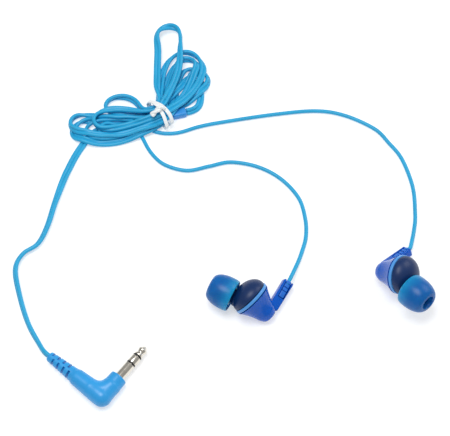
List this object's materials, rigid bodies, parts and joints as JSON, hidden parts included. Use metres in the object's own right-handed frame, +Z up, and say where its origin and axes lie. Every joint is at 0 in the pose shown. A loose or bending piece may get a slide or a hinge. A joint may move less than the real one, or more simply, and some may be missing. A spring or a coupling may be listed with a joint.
{
  "type": "wired in-ear earphones",
  "caption": "Wired in-ear earphones with silicone tips, a right-angle 3.5 mm plug and the spare cord folded into a tied hank.",
  "frame": {"origin": "on the table, under the middle of the box round the two earpieces", "axes": "+X from the left earpiece towards the right one, +Y from the earpieces towards the hank, +Z up"},
  "size_m": [0.1489, 0.1609, 0.0179],
  "materials": {
    "silicone": "satin translucent silicone",
    "navy_plastic": "soft matte moulding",
    "accent_plastic": "satin moulding",
    "clear_blue_plastic": "polished translucent moulding",
    "bushing_plastic": "soft moulding",
    "cord_jacket": "satin extruded jacket",
    "plug_plastic": "satin overmould",
    "splitter_plastic": "satin overmould",
    "insulator": "black moulding",
    "nickel": "polished nickel",
    "plated_steel": "plated",
    "magnet": "nickel-plated sintered magnet",
    "coil_copper": "enamelled wire",
    "diaphragm_film": "thin film",
    "frame_plastic": "moulded",
    "terminal_board": "solder-masked board",
    "damper_felt": "non-woven paper felt",
    "wire_mesh": "woven wire",
    "tie_strip": "plastic-coated wire"
  },
  "bodies": {
    "cable": {"hank_left": "cord_jacket", "hank_right": "cord_jacket", "hank_waist": "cord_jacket", "tall_loop": "cord_jacket", "splitter_cord": "cord_jacket", "main_cord_run": "cord_jacket", "left_lead_run": "cord_jacket", "right_lead_run": "cord_jacket", "y_splitter": "splitter_plastic", "twist_tie": "tie_strip"},
    "plug": {"plug_body": "plug_plastic", "jack_core": "insulator", "jack_sleeve": "nickel", "jack_ring": "nickel", "jack_tip": "nickel", "jack_insulator_front": "insulator", "jack_insulator_rear": "insulator"},
    "left_earpiece": {"left_front_housing": "navy_plastic", "left_nozzle_mesh": "wire_mesh", "left_accent_ring": "accent_plastic", "left_rear_cover": "clear_blue_plastic", "left_stem_bushing": "bushing_plastic", "left_driver_frame": "frame_plastic", "left_driver_yoke": "plated_steel", "left_driver_magnet": "magnet", "left_pole_plate": "plated_steel", "left_vent_damper": "damper_felt", "left_terminal_board": "terminal_board", "left_inner_lead": "cord_jacket", "left_lead_end": "cord_jacket"},
    "left_tip": {"left_eartip": "silicone"},
    "left_driver_cone": {"left_diaphragm": "diaphragm_film", "left_voice_coil": "coil_copper"},
    "right_earpiece": {"right_front_housing": "navy_plastic", "right_nozzle_mesh": "wire_mesh", "right_accent_ring": "accent_plastic", "right_rear_cover": "clear_blue_plastic", "right_stem_bushing": "bushing_plastic", "right_driver_frame": "frame_plastic", "right_driver_yoke": "plated_steel", "right_driver_magnet": "magnet", "right_pole_plate": "plated_steel", "right_vent_damper": "damper_felt", "right_terminal_board": "terminal_board", "right_inner_lead": "cord_jacket", "right_lead_end": "cord_jacket"},
    "right_tip": {"right_eartip": "silicone"},
    "right_driver_cone": {"right_diaphragm": "diaphragm_film", "right_voice_coil": "coil_copper"}
  },
  "joints": [
    {"name": "plug_flex", "type": "hinge", "parent": "cable", "child": "plug", "pos_m": [-0.09354, -0.02715, 0.00287], "axis": [0, 0, 1], "range_deg": [-25, 25]},
    {"name": "left_lead_flex", "type": "hinge", "parent": "cable", "child": "left_earpiece", "pos_m": [-0.0068, 0.0083, 0.002], "axis": [0, 0, 1], "range_deg": [-30, 30]},
    {"name": "left_tip_pull", "type": "slide", "parent": "left_earpiece", "child": "left_tip", "axis": [-0.8883, 0.4528, 0.0764], "range_m": [0, 0.008]},
    {"name": "left_driver_stroke", "type": "slide", "parent": "left_earpiece", "child": "left_driver_cone", "axis": [-0.7012, 0.558, 0.4438], "range_m": [-0.00015, 0.00015], "stiffness_N_per_m": 30},
    {"name": "right_lead_flex", "type": "hinge", "parent": "cable", "child": "right_earpiece", "pos_m": [0.0367, 0.023, 0.00095], "axis": [0, 0, 1], "range_deg": [-30, 30]},
    {"name": "right_tip_pull", "type": "slide", "parent": "right_earpiece", "child": "right_tip", "axis": [0.6315, -0.7262, 0.2718], "range_m": [0, 0.008]},
    {"name": "right_driver_stroke", "type": "slide", "parent": "right_earpiece", "child": "right_driver_cone", "axis": [0.7093, -0.4252, 0.5622], "range_m": [-0.00015, 0.00015], "stiffness_N_per_m": 30}
  ]
}
